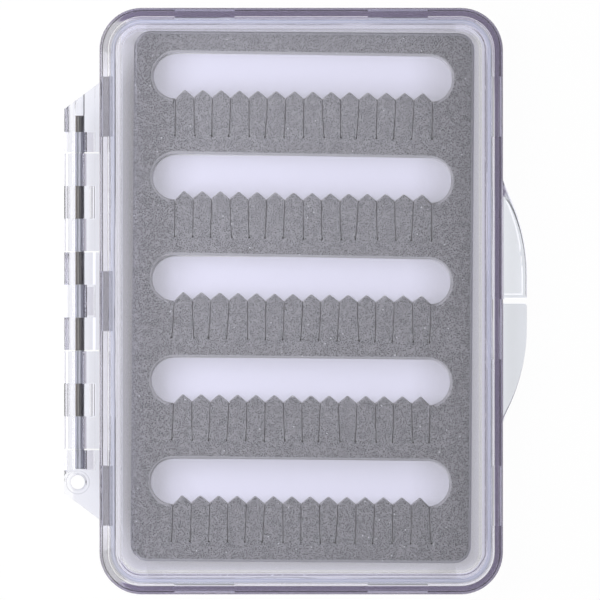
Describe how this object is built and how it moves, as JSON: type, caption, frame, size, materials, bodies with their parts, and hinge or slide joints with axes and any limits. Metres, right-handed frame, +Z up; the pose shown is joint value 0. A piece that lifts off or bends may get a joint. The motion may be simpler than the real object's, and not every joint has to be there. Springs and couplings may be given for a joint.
{
  "type": "fly box",
  "caption": "Slim clear box for fishing flies: tray and lid on a pinned hinge, with a sealing ring, thumb tabs, a lanyard hole and a slit foam sheet.",
  "frame": {"origin": "middle of the tray's flat underside, at the centre of the 86 by 125 mm case outline", "axes": "+X from the hinge to the thumb tabs, +Y along the hinge away from the lanyard hole, +Z up through the closed lid"},
  "size_m": [0.0988, 0.125, 0.018],
  "materials": {
    "clear_shell": "gloss",
    "pin_steel": "satin",
    "silicone": "satin",
    "grey_foam": "matte",
    "adhesive": "matte"
  },
  "bodies": {
    "tray": {"base_tray": "clear_shell", "hinge_pin": "pin_steel", "sealing_ring": "silicone", "foam_sheet": "grey_foam", "adhesive_film": "adhesive"},
    "cover": {"lid": "clear_shell"}
  },
  "joints": [
    {"name": "lid_hinge", "type": "hinge", "parent": "tray", "child": "cover", "pos_m": [-0.0473, 0, 0.009], "axis": [0, -1, 0], "range_deg": [0, 180]}
  ]
}
